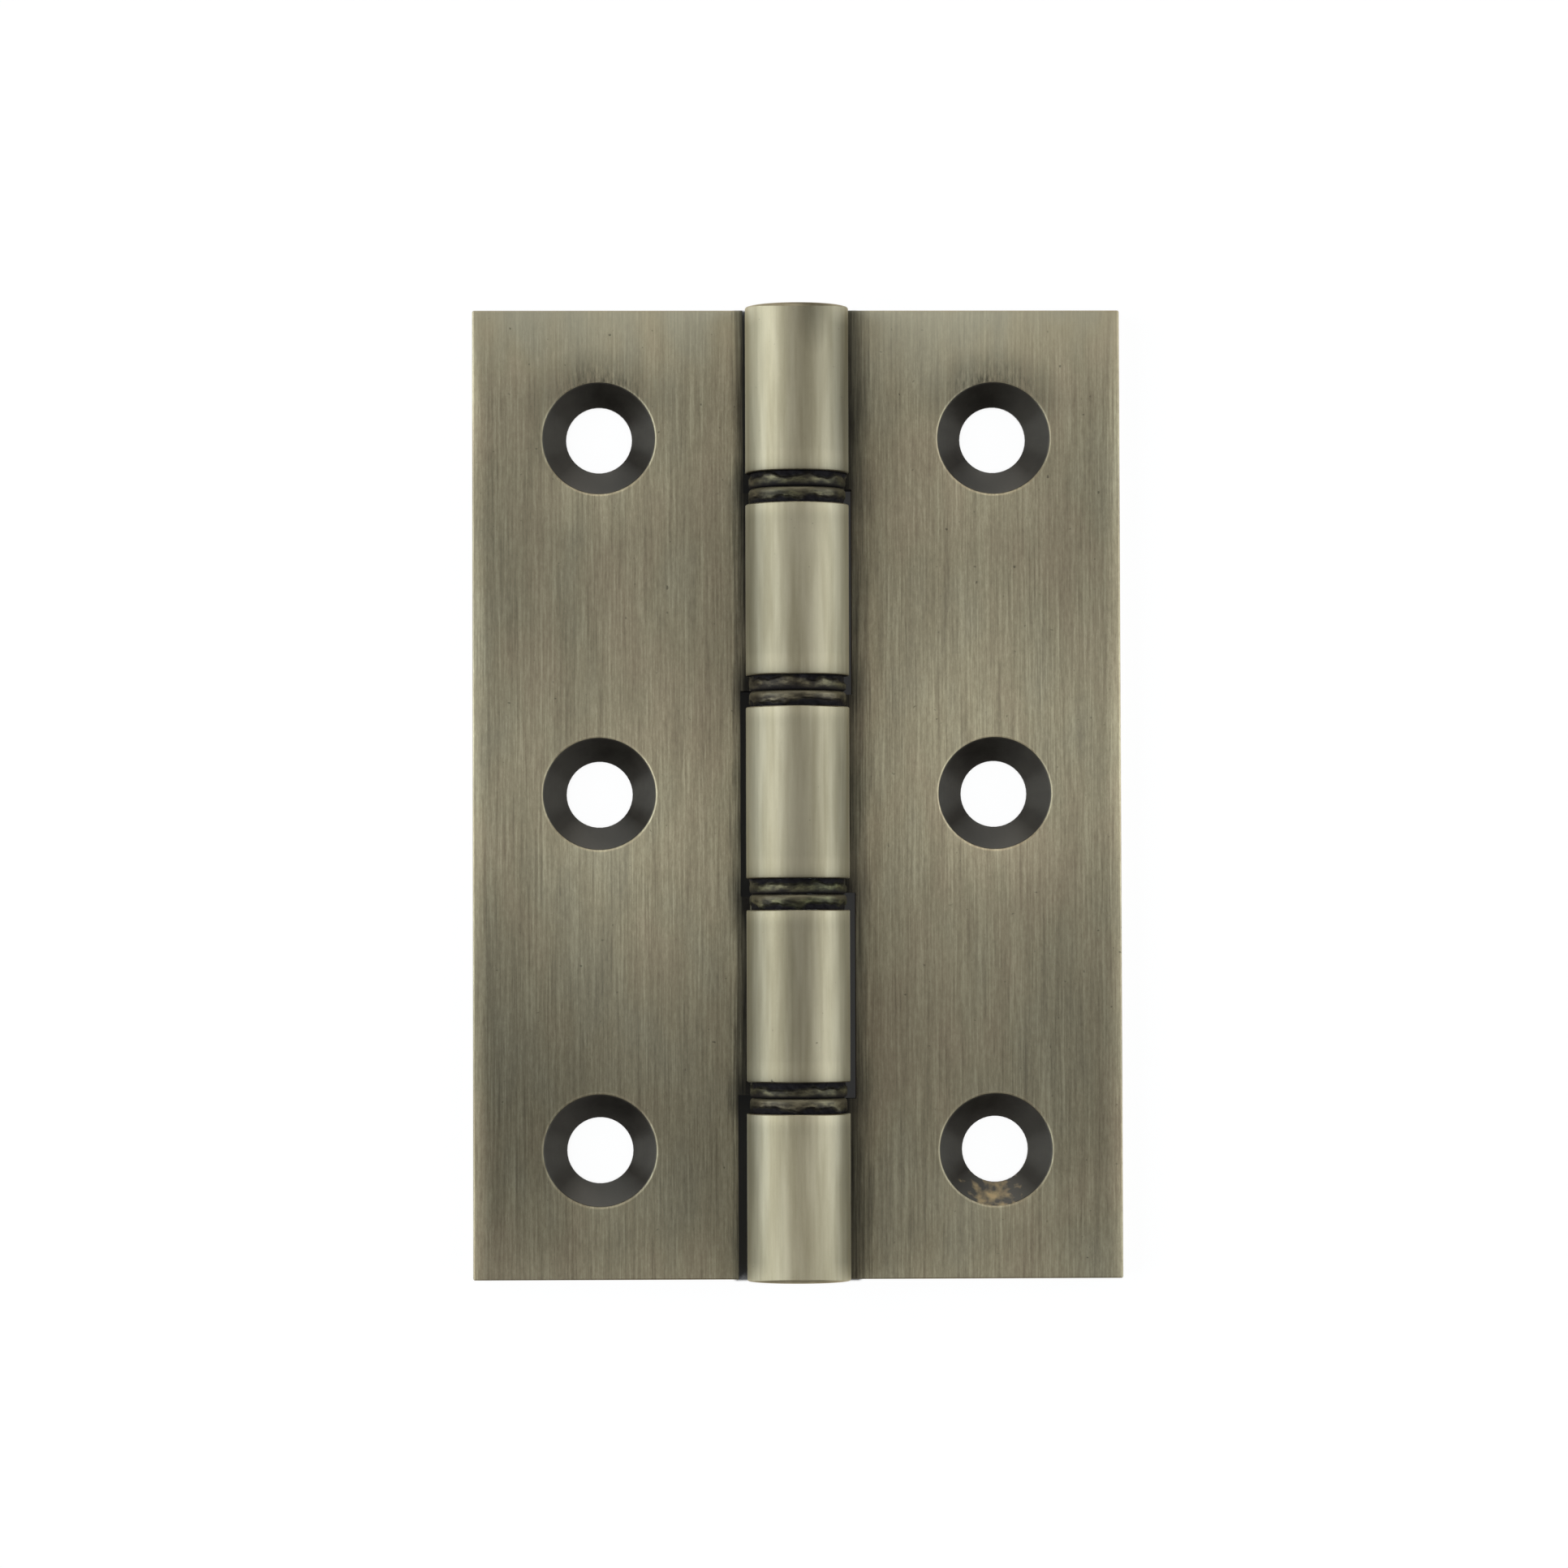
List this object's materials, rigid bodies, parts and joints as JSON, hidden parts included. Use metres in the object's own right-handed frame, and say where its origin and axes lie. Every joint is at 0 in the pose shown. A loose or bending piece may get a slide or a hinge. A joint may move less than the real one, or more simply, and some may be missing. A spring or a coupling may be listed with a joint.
{
  "type": "washered butt hinge",
  "caption": "Solid drawn brass butt hinge for a door, laid open flat, with bronze washers between its knuckles, a fixed steel pin and countersunk screw holes.",
  "frame": {"origin": "middle of the hinge on the back faces of the open leaves, under the pin", "axes": "+X from the door leaf to the frame leaf, +Y along the pin, +Z out of the countersunk faces"},
  "size_m": [0.051, 0.0762, 0.0081],
  "materials": {
    "leaf_brass": "antique nickel plate on brass, darkened and brushed back along the pin",
    "washer_bronze": "blanked phosphor bronze, darkened",
    "pin_steel": "drawn steel rod",
    "plug_brass": "turned brass, plated with the leaves"
  },
  "bodies": {
    "frame_side": {"frame_leaf": "leaf_brass", "hinge_pin": "pin_steel", "pin_plug_top": "plug_brass", "pin_plug_bottom": "plug_brass"},
    "door_side": {"door_leaf": "leaf_brass"},
    "washer_1_upper": {"washer_1_upper": "washer_bronze"},
    "washer_1_lower": {"washer_1_lower": "washer_bronze"},
    "washer_2_upper": {"washer_2_upper": "washer_bronze"},
    "washer_2_lower": {"washer_2_lower": "washer_bronze"},
    "washer_3_upper": {"washer_3_upper": "washer_bronze"},
    "washer_3_lower": {"washer_3_lower": "washer_bronze"},
    "washer_4_upper": {"washer_4_upper": "washer_bronze"},
    "washer_4_lower": {"washer_4_lower": "washer_bronze"}
  },
  "joints": [
    {"name": "leaf_swing", "type": "hinge", "parent": "frame_side", "child": "door_side", "pos_m": [0, 0, 0.00405], "axis": [0, 1, 0], "range_deg": [-92, 187]},
    {"name": "washer_1_upper_spin", "type": "hinge", "parent": "frame_side", "child": "washer_1_upper", "pos_m": [0, 0.02441, 0.00405], "axis": [0, 1, 0], "continuous": true},
    {"name": "washer_1_lower_spin", "type": "hinge", "parent": "frame_side", "child": "washer_1_lower", "pos_m": [0, 0.0232, 0.00405], "axis": [0, 1, 0], "continuous": true},
    {"name": "washer_2_upper_spin", "type": "hinge", "parent": "frame_side", "child": "washer_2_upper", "pos_m": [0, 0.00854, 0.00405], "axis": [0, 1, 0], "continuous": true},
    {"name": "washer_2_lower_spin", "type": "hinge", "parent": "frame_side", "child": "washer_2_lower", "pos_m": [0, 0.00733, 0.00405], "axis": [0, 1, 0], "continuous": true},
    {"name": "washer_3_upper_spin", "type": "hinge", "parent": "frame_side", "child": "washer_3_upper", "pos_m": [0, -0.00733, 0.00405], "axis": [0, 1, 0], "continuous": true},
    {"name": "washer_3_lower_spin", "type": "hinge", "parent": "frame_side", "child": "washer_3_lower", "pos_m": [0, -0.00854, 0.00405], "axis": [0, 1, 0], "continuous": true},
    {"name": "washer_4_upper_spin", "type": "hinge", "parent": "frame_side", "child": "washer_4_upper", "pos_m": [0, -0.0232, 0.00405], "axis": [0, 1, 0], "continuous": true},
    {"name": "washer_4_lower_spin", "type": "hinge", "parent": "frame_side", "child": "washer_4_lower", "pos_m": [0, -0.02441, 0.00405], "axis": [0, 1, 0], "continuous": true}
  ]
}
